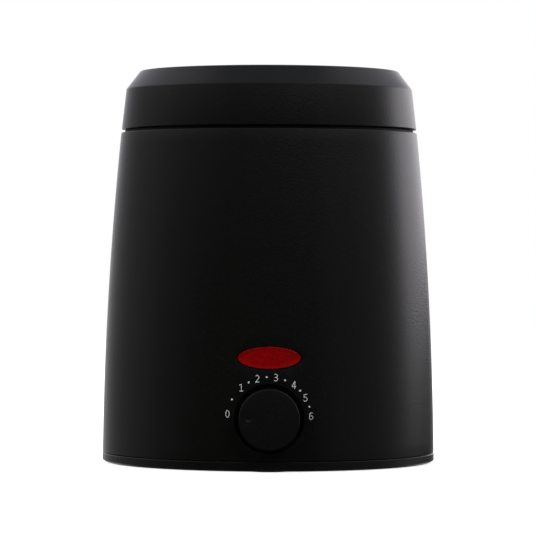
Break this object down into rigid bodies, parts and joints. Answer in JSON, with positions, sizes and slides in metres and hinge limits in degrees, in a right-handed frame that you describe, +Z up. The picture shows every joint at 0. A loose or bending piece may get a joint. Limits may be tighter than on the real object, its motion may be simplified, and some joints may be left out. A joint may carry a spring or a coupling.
{
  "type": "wax warmer pot",
  "caption": "Round bench-top wax heater with a lift-off lid, a lift-out aluminium wax pot in a heated well, a dial thermostat knob and an oval indicator lamp.",
  "frame": {"origin": "on the vertical axis of the casing, on the surface that the feet stand on", "axes": "+Z up, the front with the knob and the lamp faces -Y, +X to the right as seen from the front"},
  "size_m": [0.164, 0.1761, 0.193],
  "materials": {
    "moulded_black": "fine spark-eroded grain, satin",
    "ring_black": "smooth moulded, dull",
    "knob_black": "fine grain, satin, with a polished edge",
    "lens_red": "translucent red, polished",
    "aluminium": "drawn and spun sheet, satin",
    "steel": "zinc plated, satin",
    "brass": "turned and stamped",
    "copper": "drawn copper",
    "mica": "mica paper, matt",
    "ceramic_white": "glazed",
    "neon_glass": "clear",
    "phenolic_cream": "moulded, matt",
    "nylon_white": "moulded, satin",
    "foot_rubber": "matt",
    "lead_brown": "silicone, satin",
    "lead_blue": "silicone, satin",
    "lead_green": "silicone, satin",
    "lead_black": "silicone, satin"
  },
  "bodies": {
    "housing": {"rim_ring": "ring_black", "rim_screw_1": "steel", "rim_screw_2": "steel", "rim_screw_3": "steel", "casing": "moulded_black", "well": "aluminium", "heater_band": "mica", "band_clamp": "steel", "clamp_screw": "steel", "clamp_nut": "steel", "heat_shield": "aluminium", "shield_nut_1": "steel", "shield_nut_2": "steel", "shield_nut_3": "steel", "earth_tag": "brass", "thermostat_body": "phenolic_cream", "thermostat_bracket": "steel", "thermostat_screw_1": "steel", "thermostat_screw_2": "steel", "bracket_screw_1": "steel", "bracket_screw_2": "steel", "capillary_tube": "copper", "capillary_bulb": "copper", "bulb_clip_1": "steel", "bulb_clip_2": "steel", "thermal_fuse": "ceramic_white", "fuse_clip": "steel", "lamp_lens": "lens_red", "lamp_seat": "nylon_white", "neon_bulb": "neon_glass", "lamp_plate": "steel", "terminal_block": "nylon_white", "terminal_screws": "brass", "lead_live": "lead_brown", "lead_switched": "lead_brown", "lead_heater": "lead_brown", "lead_neutral": "lead_blue", "lead_earth": "lead_green", "lamp_leads": "lead_black", "base_plate": "moulded_black", "base_screw_1": "steel", "base_screw_2": "steel", "base_screw_3": "steel", "base_screw_4": "steel", "foot_1": "foot_rubber", "foot_2": "foot_rubber", "foot_3": "foot_rubber", "foot_4": "foot_rubber", "cord_bush": "moulded_black"},
    "control": {"knob": "knob_black", "knob_spring": "steel", "thermostat_shaft": "steel"},
    "pot": {"wax_pot": "aluminium", "pot_handle_1": "steel", "pot_handle_2": "steel", "pot_rivet_1": "aluminium", "pot_rivet_2": "aluminium", "pot_rivet_3": "aluminium", "pot_rivet_4": "aluminium"},
    "cover": {"lid": "moulded_black"}
  },
  "joints": [
    {"name": "knob_turn", "type": "hinge", "parent": "housing", "child": "control", "pos_m": [0, -0.08, 0.0253], "axis": [0, 1, 0], "range_deg": [0, 174]},
    {"name": "pot_lift", "type": "slide", "parent": "housing", "child": "pot", "axis": [0, 0, 1], "range_m": [0, 0.12]},
    {"name": "lid_lift", "type": "slide", "parent": "pot", "child": "cover", "axis": [0, 0, 1], "range_m": [0, 0.06]}
  ]
}
